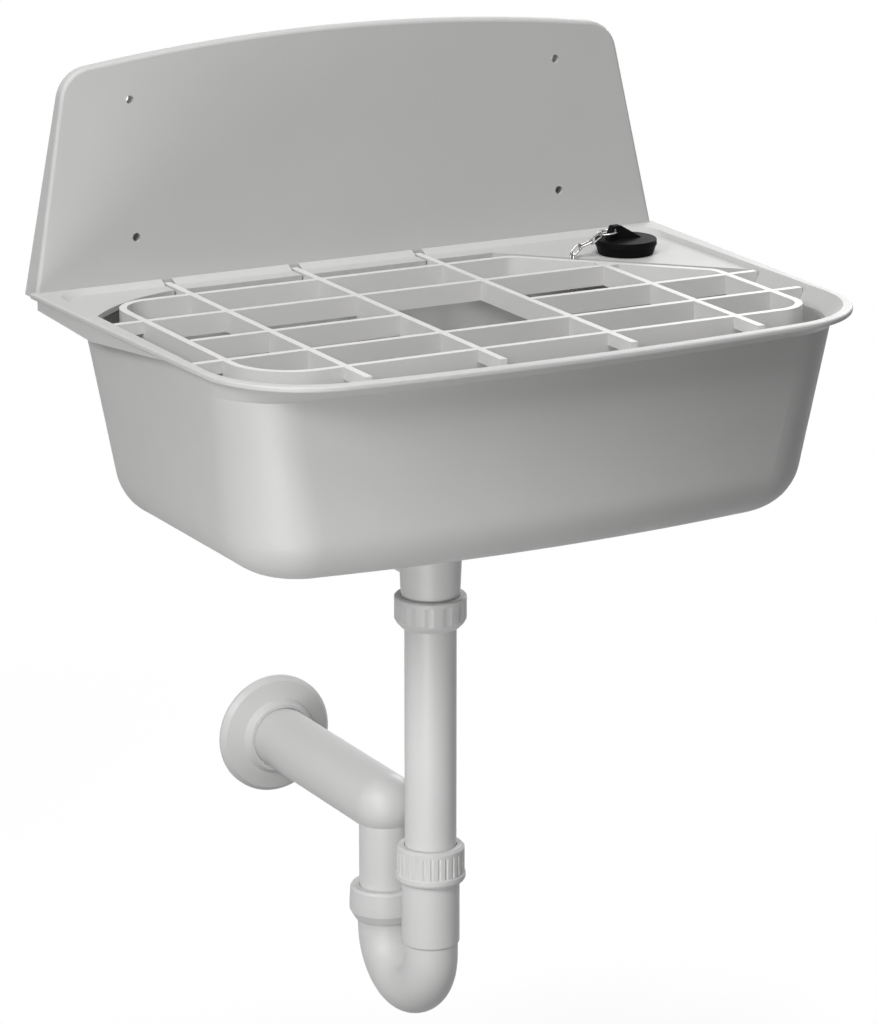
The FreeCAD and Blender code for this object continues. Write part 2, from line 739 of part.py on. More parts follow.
seat = fuse("seat_space", [seat_form()] + notch_spaces)
grate = doc.addObject("Part::MultiCommon", "grate_moulding")
grate.Shapes = [grid_all, seat]
grate.Refine = True
doc.recompute()
keep(grate, "grate")

# drain in the bowl's floor
floor_top = "-Dim.bowl_depth"
floor_under = "(-Dim.bowl_depth - Dim.bowl_wall)"


def washer(label, inner, outer, low, high, at=DRAIN):
    return lathe(label, [(inner, low), (outer, low), (outer, high), (inner, high)], at)


washer("drain_upper_seal", "Dim.drain_hole / 2", "Dim.drain_flange / 2 - Dim.seal_thick",
       floor_top, floor_top + " + Dim.seal_thick")
strainer_seat = floor_top + " + Dim.seal_thick"
strainer_top = strainer_seat + " + Dim.strainer_sheet"
strainer_low = strainer_top + " - Dim.strainer_depth"
strainer = lathe("strainer_blank", [
    ("Dim.drain_screw_shank / 2 + Dim.running_gap", strainer_low + " - Dim.strainer_sheet"),
    ("Dim.strainer_cup / 2", strainer_low + " - Dim.strainer_sheet"),
    ("Dim.strainer_cup / 2", strainer_seat),
    ("Dim.drain_flange / 2", strainer_seat),
    ("Dim.drain_flange / 2 - Dim.strainer_sheet", strainer_top),
    ("Dim.strainer_cup / 2 - Dim.strainer_sheet", strainer_top),
    ("Dim.strainer_cup / 2 - 2 * Dim.strainer_sheet", strainer_low),
    ("Dim.drain_screw_shank / 2 + Dim.running_gap", strainer_low),
], DRAIN, kept=False)
slots = []
for number in range(6):
    angle = number * 60
    slots.append(cylinder("strainer_slot_%d" % number, "Dim.strainer_slot / 2", "4 * Dim.strainer_sheet",
                          ("Dim.strainer_slot_circle * cos(%d)" % angle,
                           "-Dim.drain_y + Dim.strainer_slot_circle * sin(%d)" % angle,
                           RIM + " + (%s) - 2 * Dim.strainer_sheet" % strainer_low)))
keep(cut("strainer", strainer, fuse("strainer_slots", slots)), "drain_strainer")

lathe("drain_screw", [
    ("0", strainer_low + " - Dim.drain_screw_length"),
    ("Dim.drain_screw_shank / 2", strainer_low + " - Dim.drain_screw_length"),
    ("Dim.drain_screw_shank / 2", strainer_low),
    ("Dim.drain_screw_head / 2", strainer_low),
    ("Dim.drain_screw_head / 2", strainer_low + " + Dim.strainer_sheet"),
    ("Dim.drain_screw_shank / 2", strainer_low + " + 2 * Dim.strainer_sheet"),
    ("0", strainer_low + " + 2 * Dim.strainer_sheet"),
], DRAIN)
washer("drain_lower_seal", "Dim.drain_hole / 2", "Dim.drain_flange / 2",
       floor_under + " - Dim.seal_thick", floor_under)

body_top = floor_under + " - Dim.seal_thick"
flange_under = body_top + " - Dim.body_flange_thick"
drain_shell = lathe("drain_shell", [
    ("Dim.body_bore / 2", "-Dim.body_end"),
    ("Dim.body_bottom / 2", "-Dim.body_end"),
    ("Dim.body_bottom / 2", "-Dim.nut_top"),
    ("Dim.body_top / 2", flange_under + " - Dim.body_flange_thick"),
    ("Dim.drain_flange / 2", flange_under),
    ("Dim.drain_flange / 2", body_top),
    ("Dim.strainer_cup / 2 + Dim.running_gap", body_top),
    ("Dim.strainer_cup / 2 + Dim.running_gap", flange_under),
    ("Dim.body_bore / 2", flange_under + " - Dim.body_flange_thick"),
], DRAIN, kept=False)
branch = cylinder("drain_branch", "Dim.branch_outer / 2", "Dim.branch_reach",
                  ("0", "-Dim.drain_y", RIM + " - Dim.branch_height"), "y")
branch_bore = cylinder("drain_branch_bore", "Dim.branch_bore / 2", "Dim.branch_reach + Dim.tube_wall",
                       ("0", "-Dim.drain_y", RIM + " - Dim.branch_height"), "y")
drain_bore = cylinder("drain_bore", "Dim.body_bore / 2", "Dim.body_end - Dim.bowl_depth",
                      ("0", "-Dim.drain_y", RIM + " - Dim.body_end"))
web_low = strainer_low + " - Dim.drain_screw_length"
web_height = "(Dim.drain_screw_length - 2 * Dim.strainer_sheet)"
boss_outer = cylinder("drain_boss", "Dim.drain_screw_head / 2", web_height,
                      ("0", "-Dim.drain_y", RIM + " + " + web_low))
web = box("drain_web", ("-Dim.body_bore / 2 - Dim.tube_wall / 2", "-Dim.drain_y - Dim.tube_wall", RIM + " + " + web_low),
          ("Dim.body_bore + Dim.tube_wall", "2 * Dim.tube_wall", web_height + " / 2"))
boss_bore = cylinder("drain_boss_bore", "Dim.drain_screw_shank / 2", "2 * Dim.drain_screw_length",
                     ("0", "-Dim.drain_y", RIM + " + %s - Dim.drain_screw_length / 2" % web_low))
drain_solid = fuse("drain_solid", [drain_shell, branch])
branch_socket = cylinder("drain_branch_socket", "Dim.hose_outer / 2 + Dim.running_gap / 2", "2 * Dim.hose_socket",
                         ("0", "-Dim.drain_y + Dim.branch_reach - Dim.hose_socket", RIM + " - Dim.branch_height"), "y")
drain_open = cut("drain_open", drain_solid, fuse("drain_bores", [branch_bore, drain_bore, branch_socket]))
drain_webbed = fuse("drain_webbed", [drain_open, boss_outer, web])
keep(cut("drain_body_solid", drain_webbed, boss_bore), "drain_body")


# union nuts, seals and tubes of the trap
def fluted_nut(label, profile, at, top, height, outer, flutes, groove):
    """Turned nut with grip flutes round its outside."""
    blank = lathe(label + "_blank", profile, at, kept=False)
    cuts = []
    count = int(value(flutes))
    reach = "(%s / 2 + %s - Dim.flute_depth)" % (outer, groove)
    for number in range(count):
        angle = 360.0 / count * number
        cuts.append(cylinder("%s_flute_%d" % (label, number), groove, height + " * 0.62",
                             ("%s * cos(%s)" % (reach, angle), "%s + %s * sin(%s)" % (at[1], reach, angle),
                              "%s - %s - %s * 0.78" % (RIM, top, height))))
    return keep(cut(label + "_solid", blank, fuse(label + "_flutes", cuts)), label)


thread = "(Dim.body_bottom / 2 + Dim.running_gap)"
neck = "(Dim.tube_outer / 2 + Dim.running_gap)"
seat_low = "-Dim.body_end - Dim.seal_thick - Dim.tube_flange_thick - Dim.running_gap"
nut_low = "-Dim.nut_top - Dim.nut_height"
fluted_nut("tailpiece_nut", [
    (neck, nut_low),
    (neck + " + Dim.tube_wall", nut_low),
    ("Dim.nut_outer / 2 - Dim.tube_wall", nut_low + " + Dim.nut_chamfer / 2"),
    ("Dim.nut_outer / 2", nut_low + " + Dim.nut_chamfer"),
    ("Dim.nut_outer / 2", "-Dim.nut_top - Dim.tube_wall / 2"),
    ("Dim.nut_outer / 2 - Dim.tube_wall / 2", "-Dim.nut_top"),
    (thread, "-Dim.nut_top"),
    (thread, seat_low),
    (neck, seat_low),
], DRAIN, "Dim.nut_top", "Dim.nut_height", "Dim.nut_outer", "Dim.nut_flutes", "Dim.nut_groove")
washer("tailpiece_seal", "Dim.body_bore / 2", "Dim.body_bottom / 2 - Dim.running_gap",
       "-Dim.body_end - Dim.seal_thick", "-Dim.body_end")
tube_top = "-Dim.body_end - Dim.seal_thick"
lathe("dip_tube", [
    ("Dim.tube_outer / 2 - Dim.tube_wall", "-Dim.tube_end"),
    ("Dim.tube_outer / 2", "-Dim.tube_end"),
    ("Dim.tube_outer / 2", tube_top + " - Dim.tube_flange_thick"),
    ("Dim.tube_flange / 2", tube_top + " - Dim.tube_flange_thick"),
    ("Dim.tube_flange / 2", tube_top),
    ("Dim.tube_outer / 2 - Dim.tube_wall", tube_top),
], DRAIN)

inlet_low = "-Dim.inlet_nut_top - Dim.inlet_nut_height"
socket_thread = "(Dim.socket_outer / 2 + Dim.running_gap)"
socket_top = "(-Dim.inlet_nut_top - Dim.inlet_nut_height / 2)"
inlet_roof = "(-Dim.inlet_nut_top - Dim.tube_wall)"
fluted_nut("inlet_nut", [
    (socket_thread, inlet_low),
    ("Dim.inlet_nut_collar / 2 - Dim.tube_wall / 2", inlet_low),
    ("Dim.inlet_nut_collar / 2", inlet_low + " + Dim.tube_wall"),
    ("Dim.inlet_nut_collar / 2", inlet_low + " + 2.5 * Dim.tube_wall"),
    ("Dim.inlet_nut_outer / 2", inlet_low + " + 3 * Dim.tube_wall"),
    ("Dim.inlet_nut_outer / 2", "-Dim.inlet_nut_top - Dim.tube_wall"),
    ("Dim.inlet_nut_outer / 2 - Dim.tube_wall", "-Dim.inlet_nut_top"),
    (neck, "-Dim.inlet_nut_top"),
    (neck, inlet_roof),
    (socket_thread, inlet_roof + " - Dim.tube_wall"),
], DRAIN, "Dim.inlet_nut_top", "Dim.inlet_nut_height", "Dim.inlet_nut_outer", "Dim.inlet_flutes", "Dim.inlet_groove")
inlet_seal_top = inlet_roof + " - Dim.tube_wall - Dim.running_gap"
lathe("inlet_seal", [
    (neck, socket_top),
    ("Dim.socket_outer / 2", socket_top),
    ("Dim.socket_outer / 2", inlet_seal_top + " - Dim.tube_wall / 2"),
    ("Dim.socket_outer / 2 - Dim.tube_wall / 2", inlet_seal_top),
    (neck, inlet_seal_top),
], DRAIN)

# U-bend: socketed inlet, half-circle bend, threaded outlet leg
outlet_top = "(-Dim.outlet_nut_top - Dim.outlet_nut_height / 2)"
bend_bore = "(Dim.bend_outer / 2 - Dim.bend_wall)"


def bend_half(name, radius):
    """Half circle of tube below both legs."""
    ring = doc.addObject("Part::Torus", name)
    bind(ring, Radius1="Dim.leg_spacing / 2", Radius2=radius)
    ring.Placement = FreeCAD.Placement(Vector(), FreeCAD.Rotation(Vector(0, 1, 0), 90))
    place(ring, ("0", "-Dim.drain_y + Dim.leg_spacing / 2", RIM + " - Dim.bend_centre"))
    below = box(name + "_below", ("-Dim.leg_spacing", "-Dim.drain_y - Dim.leg_spacing",
                                  RIM + " - Dim.bend_centre - 2 * Dim.leg_spacing"),
                ("2 * Dim.leg_spacing", "3 * Dim.leg_spacing", "2 * Dim.leg_spacing"))
    half = doc.addObject("Part::MultiCommon", name + "_half")
    half.Shapes = [ring, below]
    doc.recompute()
    return half


inlet_leg = lathe("inlet_leg", [
    ("0", "-Dim.bend_centre"),
    ("Dim.bend_outer / 2", "-Dim.bend_centre"),
    ("Dim.bend_outer / 2", "-Dim.socket_end - Dim.tube_wall"),
    ("Dim.socket_outer / 2", "-Dim.socket_end"),
    ("Dim.socket_outer / 2", socket_top),
    ("0", socket_top),
], DRAIN, kept=False)
outlet_leg = lathe("outlet_leg", [
    ("0", "-Dim.bend_centre"),
    ("Dim.bend_outer / 2", "-Dim.bend_centre"),
    ("Dim.socket_outer / 2", outlet_top + " - Dim.seal_height"),
    ("Dim.socket_outer / 2", outlet_top),
    ("0", outlet_top),
], OUTLET, kept=False)
bend_outside = fuse("bend_outside", [inlet_leg, outlet_leg, bend_half("bend_tube", "Dim.bend_outer / 2")])
inlet_bore = lathe("inlet_bore", [
    ("0", "-Dim.bend_centre"),
    (bend_bore, "-Dim.bend_centre"),
    (neck, "-Dim.tube_end - 2 * Dim.tube_wall"),
    (neck, socket_top + " + Dim.tube_wall"),
    ("0", socket_top + " + Dim.tube_wall"),
], DRAIN, kept=False)
outlet_bore = lathe("outlet_bore", [
    ("0", "-Dim.bend_centre"),
    (bend_bore, "-Dim.bend_centre"),
    ("Dim.leg_outer / 2 + Dim.running_gap", outlet_top + " - 2 * Dim.seal_height"),
    ("Dim.leg_outer / 2 + Dim.running_gap", outlet_top + " + Dim.tube_wall"),
    ("0", outlet_top + " + Dim.tube_wall"),
], OUTLET, kept=False)
bend_inside = fuse("bend_inside", [inlet_bore, outlet_bore, bend_half("bend_bore_tube", bend_bore)])
keep(cut("trap_bend_solid", bend_outside, bend_inside), "trap_bend")

leg_neck = "(Dim.leg_outer / 2 + Dim.running_gap)"
outlet_low = "-Dim.outlet_nut_top - Dim.outlet_nut_height"
lathe("outlet_nut", [
    (socket_thread, outlet_low),
    ("Dim.nut_outer / 2 - 2 * Dim.tube_wall", outlet_low),
    ("Dim.nut_outer / 2", outlet_low + " + Dim.nut_chamfer"),
    ("Dim.nut_outer / 2", outlet_low + " + 2 * Dim.nut_chamfer"),
    ("Dim.nut_outer / 2 - Dim.flute_depth", "-Dim.outlet_nut_top - Dim.tube_wall"),
    ("Dim.nut_outer / 2 - Dim.tube_wall", "-Dim.outlet_nut_top"),
    (leg_neck, "-Dim.outlet_nut_top"),
    (leg_neck, "-Dim.outlet_nut_top - Dim.tube_wall"),
    (socket_thread, "-Dim.outlet_nut_top - 2 * Dim.tube_wall"),
], OUTLET)
outlet_seal_top = "-Dim.outlet_nut_top - 2 * Dim.tube_wall - Dim.running_gap"
lathe("outlet_seal", [
    (leg_neck, outlet_top),
    ("Dim.socket_outer / 2", outlet_top),
    ("Dim.socket_outer / 2", outlet_seal_top + " - Dim.tube_wall / 2"),
    ("Dim.socket_outer / 2 - Dim.tube_wall / 2", outlet_seal_top),
    (leg_neck, outlet_seal_top),
], OUTLET)


def elbow_form(name, thin, longer):
    """Upright leg into a domed corner and the level wall pipe."""
    leg = cylinder(name + "_leg", "Dim.leg_outer / 2 - (%s)" % thin,
                   "-Dim.pipe_height - (%s) + Dim.seal_height * 2 + %s" % (outlet_top, longer),
                   (OUTLET[0], OUTLET[1], RIM + " + %s - 2 * Dim.seal_height - %s" % (outlet_top, longer)))
    run = cylinder(name + "_run", "Dim.pipe_outer / 2 - (%s)" % thin,
                   "Dim.pipe_end + Dim.drain_y - Dim.leg_spacing + %s" % longer,
                   (OUTLET[0], OUTLET[1], RIM + " - Dim.pipe_height"), "y")
    knee = doc.addObject("Part::Sphere", name + "_knee")
    bind(knee, Radius="Dim.pipe_outer / 2 - (%s)" % thin)
    place(knee, (OUTLET[0], OUTLET[1], RIM + " - Dim.pipe_height"))
    return fuse(name, [leg, run, knee])


spigot_from = ("0", "Dim.pipe_end - Dim.spigot_length", RIM + " - Dim.pipe_height")
spigot_waste = cut("spigot_waste", cylinder("spigot_block", "Dim.pipe_outer", "2 * Dim.spigot_length", spigot_from, "y"),
                   cylinder("spigot_core", "Dim.spigot_outer / 2", "2 * Dim.spigot_length", spigot_from, "y"))
elbow_open = cut("elbow_open", elbow_form("elbow_outside", "0", "0"),
                 elbow_form("elbow_inside", "Dim.pipe_wall", "Dim.pipe_wall"))
keep(cut("outlet_elbow_solid", elbow_open, spigot_waste), "outlet_elbow")

rosette_bore = "(Dim.pipe_outer / 2 + Dim.running_gap)"
rosette = lathe("wall_rosette", [
    ("Dim.rosette_outer / 2 - Dim.rosette_sheet", "0"),
    ("Dim.rosette_outer / 2", "0"),
    ("Dim.rosette_outer / 2", "Dim.rosette_rise * 0.18"),
    ("Dim.rosette_outer / 2 * 0.93", "Dim.rosette_rise * 0.42"),
    ("Dim.rosette_collar / 2 + Dim.rosette_sheet", "Dim.rosette_rise * 0.66"),
    ("Dim.rosette_collar / 2 - Dim.rosette_sheet", "Dim.rosette_rise"),
    (rosette_bore, "Dim.rosette_rise"),
    (rosette_bore, "Dim.rosette_rise * 0.5"),
    ("Dim.rosette_outer / 2 * 0.9", "Dim.rosette_rise * 0.25"),
], ("0", "Dim.rosette_at", RIM + " - Dim.pipe_height"))
rosette.Placement = FreeCAD.Placement(rosette.Placement.Base, FreeCAD.Rotation(Vector(1, 0, 0), 90))
doc.recompute()

# overflow: rosette inside the rear wall, elbow behind it, hose down to the drain
outer_drop = "(%s + Dim.bowl_wall - Dim.rim_thick)" % wall_drop
outer_y = "(Dim.bowl_wall - Dim.throat_rear - %s * (Dim.overflow_height - Dim.throat_depth - Dim.rim_thick) / %s)" % (
    wall_run, outer_drop)
wall_square = "((%s - (%s)) * cos(%s))" % (outer_y, overflow_y, wall_angle)
screw_clear = "Dim.overflow_screw_shank / 2 + Dim.running_gap / 2"


def perforate(body, name, count, circle, radius, depth):
    """Ring of round holes through the middle plane of a turned body."""
    sketch = new_sketch(body, name, "XY_Plane")
    for number in range(count):
        angle = 360.0 / count * (number + 0.5)
        across = "%s * cos(%s)" % (circle, angle)
        along = "%s * sin(%s)" % (circle, angle)
        spot = Vector(value(across), value(along), 0)
        sketch.addGeometry(Part.Circle(spot, Vector(0, 0, 1), value(radius)), False)
        drive(sketch, "DistanceX", -1, 1, number, 3, text=across)
        drive(sketch, "DistanceY", -1, 1, number, 3, text=along)
        drive(sketch, "Radius", number, text=radius)
    pocket(body, sketch, depth)


overflow_face = lathe("overflow_face", [
    (screw_clear, "0"),
    ("Dim.overflow_face / 2", "0"),
    ("Dim.overflow_face / 2", "Dim.overflow_face_thick / 2"),
    ("Dim.overflow_face / 2 - Dim.overflow_face_thick", "Dim.overflow_face_thick"),
    (screw_clear, "Dim.overflow_face_thick"),
], OVERFLOW, kept=False)
perforate(overflow_face, "overflow_slots", 6, "Dim.overflow_slot_circle", "Dim.overflow_slot / 2",
          "4 * Dim.overflow_face_thick")
tilt(overflow_face)


def on_wall(up, out):
    """World position of a point given up along the rear wall and out of it into the bowl."""
    rise = "(%s)" % up
    reach = "(%s)" % out
    return ("0", "%s + %s * sin(%s) - %s * cos(%s)" % (overflow_y, rise, wall_angle, reach, wall_angle),
            "%s - Dim.overflow_height + %s * cos(%s) + %s * sin(%s)" % (RIM, rise, wall_angle, reach, wall_angle))


eye = doc.addObject("Part::Torus", "chain_eye")
bind(eye, Radius1="Dim.chain_eye", Radius2="Dim.chain_eye / 4")
eye_foot = "Dim.overflow_face_thick - Dim.chain_eye / 8"
eye_up = "-0.34 * Dim.overflow_face"
eye.Placement = FreeCAD.Placement(Vector(), FreeCAD.Rotation(Vector(1, 0, 0), 0))
place(eye, on_wall(eye_up, eye_foot))
eye.Placement = FreeCAD.Placement(eye.Placement.Base, FreeCAD.Rotation(Vector(1, 0, 0), 45))
bind(eye, Placement__Rotation__Angle="-" + wall_angle)
doc.recompute()
eye_front = lathe("eye_front", [
    ("0", "Dim.overflow_face_thick / 2"),
    ("Dim.overflow_face", "Dim.overflow_face_thick / 2"),
    ("Dim.overflow_face", "5 * Dim.overflow_face_thick"),
    ("0", "5 * Dim.overflow_face_thick"),
], OVERFLOW, kept=False)
tilt(eye_front)
eye_arch = doc.addObject("Part::MultiCommon", "eye_arch")
eye_arch.Shapes = [eye, eye_front]
keep(fuse("overflow_rosette_solid", [overflow_face, eye_arch]), "overflow_rosette")

tilt(lathe("overflow_screw", [
    ("0", "-Dim.overflow_reach / 2"),
    ("Dim.overflow_screw_shank / 2", "-Dim.overflow_reach / 2"),
    ("Dim.overflow_screw_shank / 2", "Dim.overflow_face_thick"),
    ("Dim.overflow_screw_head / 2", "Dim.overflow_face_thick"),
    ("Dim.overflow_screw_head / 2", "Dim.overflow_face_thick * 1.5"),
    ("Dim.overflow_screw_shank / 2", "Dim.overflow_face_thick * 1.8"),
    ("0", "Dim.overflow_face_thick * 1.8"),
], OVERFLOW))
seal_front = "(-%s - Dim.overflow_seal_gap)" % wall_square
seal_back = "(%s - Dim.seal_thick)" % seal_front
tilt(lathe("overflow_seal", [
    ("Dim.overflow_hole / 2", seal_back),
    ("Dim.overflow_face / 2", seal_back),
    ("Dim.overflow_face / 2", seal_front),
    ("Dim.overflow_hole / 2", seal_front),
], OVERFLOW))

knee_out = "(-((%s) + Dim.hose_y) / cos(%s))" % (overflow_y, wall_angle)
knee_height = "(-Dim.overflow_height - %s * sin(%s))" % (knee_out, wall_angle)
knee_at = ("0", "-Dim.hose_y", "%s + %s" % (RIM, knee_height))
spigot_low = "(-Dim.hose_top - Dim.overflow_neck / 2)"


def overflow_pipe(name, radius, longer):
    """Tilted neck, ball corner and upright spigot of the overflow elbow."""
    neck_form = lathe(name + "_neck", [
        ("0", "-" + knee_out),
        (radius, "-" + knee_out),
        (radius, seal_back + " + " + longer),
        ("0", seal_back + " + " + longer),
    ], OVERFLOW, kept=False)
    tilt(neck_form)
    ball = doc.addObject("Part::Sphere", name + "_ball")
    bind(ball, Radius=radius)
    place(ball, knee_at)
    spigot = cylinder(name + "_spigot", radius, "%s - %s + %s" % (knee_height, spigot_low, longer),
                      (knee_at[0], knee_at[1], "%s + %s - %s" % (RIM, spigot_low, longer)))
    return fuse(name, [neck_form, ball, spigot])


overflow_flange = lathe("overflow_flange", [
    ("0", seal_back + " - Dim.overflow_face_thick"),
    ("Dim.overflow_face / 2", seal_back + " - Dim.overflow_face_thick"),
    ("Dim.overflow_face / 2", seal_back),
    ("0", seal_back),
], OVERFLOW, kept=False)
tilt(overflow_flange)
overflow_boss = lathe("overflow_boss", [
    ("Dim.overflow_screw_shank / 2", "-Dim.overflow_reach / 2"),
    ("Dim.overflow_screw_shank", "-Dim.overflow_reach / 2"),
    ("Dim.overflow_screw_shank", seal_back),
    ("Dim.overflow_screw_shank / 2", seal_back),
], OVERFLOW, kept=False)
tilt(overflow_boss)
overflow_web = new_body("overflow_web", OVERFLOW)
web_sketch = outline(overflow_web, "overflow_web_outline", "XY_Plane", [
    ("Dim.overflow_screw_shank * 0.75", "-Dim.tube_wall / 2"),
    ("Dim.overflow_neck / 2 - Dim.tube_wall / 2", "-Dim.tube_wall / 2"),
    ("Dim.overflow_neck / 2 - Dim.tube_wall / 2", "Dim.tube_wall / 2"),
    ("Dim.overflow_screw_shank * 0.75", "Dim.tube_wall / 2"),
], offset="-Dim.overflow_reach / 2")
pad(overflow_web, web_sketch, "Dim.overflow_reach / 2 + " + seal_back)
tilt(overflow_web)
overflow_solid = fuse("overflow_solid", [overflow_pipe("overflow_outside", "Dim.overflow_neck / 2", "0"), overflow_flange])
overflow_open = cut("overflow_open", overflow_solid,
                    overflow_pipe("overflow_inside", "Dim.overflow_bore / 2", "Dim.tube_wall"))
keep(fuse("overflow_elbow_solid", [overflow_open, overflow_boss, overflow_web]), "overflow_elbow")

hose = new_body("overflow_hose_body", ("0", "-Dim.hose_y", RIM))
hose_end = "-(Dim.drain_y - Dim.branch_reach - Dim.hose_y + Dim.hose_socket * 0.8)"
hose_path = new_sketch(hose, "hose_path", "YZ_Plane")
hose_points = [
    Vector(0, -value("Dim.hose_top"), 0),
    Vector(0, -value("Dim.branch_height - Dim.hose_round"), 0),
    Vector(-value("Dim.hose_round"), -value("Dim.branch_height"), 0),
    Vector(value(hose_end), -value("Dim.branch_height"), 0),
]
hose_centre = Vector(-value("Dim.hose_round"), -value("Dim.branch_height - Dim.hose_round"), 0)
hose_circle = Part.Circle(hose_centre, Vector(0, 0, 1), value("Dim.hose_round"))
hose_path.addGeometry(Part.LineSegment(hose_points[0], hose_points[1]), False)
hose_path.addGeometry(Part.ArcOfCircle(hose_circle, math.radians(270), math.radians(360)), False)
hose_path.addGeometry(Part.LineSegment(hose_points[2], hose_points[3]), False)
hose_path.addConstraint(Sketcher.Constraint("Tangent", 0, 2, 1, 2))
hose_path.addConstraint(Sketcher.Constraint("Tangent", 1, 1, 2, 1))
hose_path.addConstraint(Sketcher.Constraint("Vertical", 0))
hose_path.addConstraint(Sketcher.Constraint("Horizontal", 2))
hose_path.addConstraint(Sketcher.Constraint("PointOnObject", 0, 1, -2))
drive(hose_path, "DistanceY", -1, 1, 0, 1, text="-Dim.hose_top")
drive(hose_path, "Radius", 1, text="Dim.hose_round")
drive(hose_path, "DistanceY", -1, 1, 2, 2, text="-Dim.branch_height")
drive(hose_path, "DistanceX", -1, 1, 2, 2, text=hose_end)
hose_ring = new_sketch(hose, "hose_ring", "XY_Plane", "-Dim.hose_top")
for number, text in enumerate(("Dim.hose_outer / 2", "Dim.hose_bore / 2")):
    hose_ring.addGeometry(Part.Circle(Vector(), Vector(0, 0, 1), value(text)), False)
    hose_ring.addConstraint(Sketcher.Constraint("Coincident", number, 3, -1, 1))
    drive(hose_ring, "Radius", number, text=text)
hose_pipe = hose.newObject("PartDesign::AdditivePipe", "hose_pipe")
hose_pipe.Profile = hose_ring
hose_pipe.Spine = hose_path
doc.recompute()
keep(hose, "overflow_hose")

# rubber plug with its lug, split ring and chain
PLUG = ("Dim.plug_x", "-Dim.plug_y", RIM + " - Dim.shelf_drop + Dim.plug_gap")
plug_body = lathe("plug_disc", [
    ("0", "0"),
    ("Dim.plug_foot / 2 - Dim.plug_gap", "0"),
    ("Dim.plug_foot / 2", "Dim.plug_gap"),
    ("Dim.plug_outer / 2 - 2 * Dim.plug_gap", "Dim.plug_height * 0.55"),
    ("Dim.plug_outer / 2", "Dim.plug_height * 0.62"),
    ("Dim.plug_outer / 2", "Dim.plug_height - 1.5 * Dim.plug_gap"),
    ("Dim.plug_outer / 2 - 1.5 * Dim.plug_gap", "Dim.plug_height"),
    ("0", "Dim.plug_height"),
], PLUG, kept=False)
lug = new_body("plug_lug", PLUG)
lug_sketch = outline(lug, "plug_lug_outline", "XZ_Plane", [
    ("-Dim.lug_width * 0.57", "Dim.plug_height - Dim.plug_gap"),
    ("Dim.lug_width * 0.43", "Dim.plug_height - Dim.plug_gap"),
    ("-Dim.lug_width * 0.2", "Dim.plug_height + Dim.lug_height"),
    ("-Dim.lug_width * 0.45", "Dim.plug_height + Dim.lug_height"),
])
pad(lug, lug_sketch, "Dim.lug_thick", middle=True)
round_edges(lug, "plug_lug_crown", "Dim.lug_thick / 3",
            lambda edge: edge.BoundBox.ZLength < 0.01 and edge.BoundBox.XLength < 0.01
            and edge.CenterOfMass.z > value("Dim.plug_height + Dim.lug_height / 2"))
lug_hole_x = "%s - Dim.lug_width * 0.33" % PLUG[0]
lug_hole_up = "(Dim.plug_height + Dim.lug_height * 0.6)"
lug_hole = cylinder("plug_lug_hole", "Dim.lug_hole / 2", "2 * Dim.lug_thick",
                    (lug_hole_x, PLUG[1] + " - Dim.lug_thick", PLUG[2] + " + " + lug_hole_up), "y")
keep(cut("plug_solid", fuse("plug_blank", [plug_body, lug]), lug_hole), "plug")

RING_DROP = 5.0
ring = doc.addObject("Part::Torus", "plug_ring_torus")
bind(ring, Radius1="Dim.ring_mean", Radius2="Dim.ring_wire / 2")
ring.Placement = FreeCAD.Placement(Vector(), FreeCAD.Rotation(Vector(0, 1, 0), -RING_DROP))
place(ring, ("%s - Dim.ring_mean * cos(%s)" % (lug_hole_x, RING_DROP), PLUG[1],
             "%s + %s - Dim.ring_mean * sin(%s)" % (PLUG[2], lug_hole_up, RING_DROP)))
keep(ring, "plug_ring")
doc.recompute()

link_body = new_body("chain_link", ("0", "0", "0"))
link_half = "(Dim.link_width - Dim.link_wire) / 2"
link_straight = "(Dim.link_pitch + Dim.link_slack + Dim.link_wire - 2 * %s) / 2" % link_half
link_path = new_sketch(link_body, "link_path", "XY_Plane")
run, round_ = value(link_straight), value(link_half)
link_path.addGeometry(Part.LineSegment(Vector(-run, -round_, 0), Vector(run, -round_, 0)), False)
link_turn = Part.Circle(Vector(run, 0, 0), Vector(0, 0, 1), round_)
link_path.addGeometry(Part.ArcOfCircle(link_turn, math.radians(-90), math.radians(90)), False)
link_path.addGeometry(Part.LineSegment(Vector(run, round_, 0), Vector(-run, round_, 0)), False)
link_back = Part.Circle(Vector(-run, 0, 0), Vector(0, 0, 1), round_)
link_path.addGeometry(Part.ArcOfCircle(link_back, math.radians(90), math.radians(270)), False)
for side in range(4):
    link_path.addConstraint(Sketcher.Constraint("Tangent", side, 2, (side + 1) % 4, 1))
link_path.addConstraint(Sketcher.Constraint("Horizontal", 0))
drive(link_path, "DistanceX", -1, 1, 0, 1, text="-(%s)" % link_straight)
drive(link_path, "DistanceY", -1, 1, 0, 1, text="-(%s)" % link_half)
drive(link_path, "DistanceX", -1, 1, 0, 2, text=link_straight)
drive(link_path, "Radius", 1, text=link_half)
link_ring = new_sketch(link_body, "link_ring", "YZ_Plane")
link_ring.addGeometry(Part.Circle(Vector(-round_, 0, 0), Vector(0, 0, 1), value("Dim.link_wire / 2")), False)
drive(link_ring, "DistanceX", -1, 1, 0, 3, text="-(%s)" % link_half)
link_ring.addConstraint(Sketcher.Constraint("PointOnObject", 0, 3, -1))
drive(link_ring, "Radius", 0, text="Dim.link_wire / 2")
link_pipe = link_body.newObject("PartDesign::AdditivePipe", "link_pipe")
link_pipe.Profile = link_ring
link_pipe.Spine = link_path
doc.recompute()

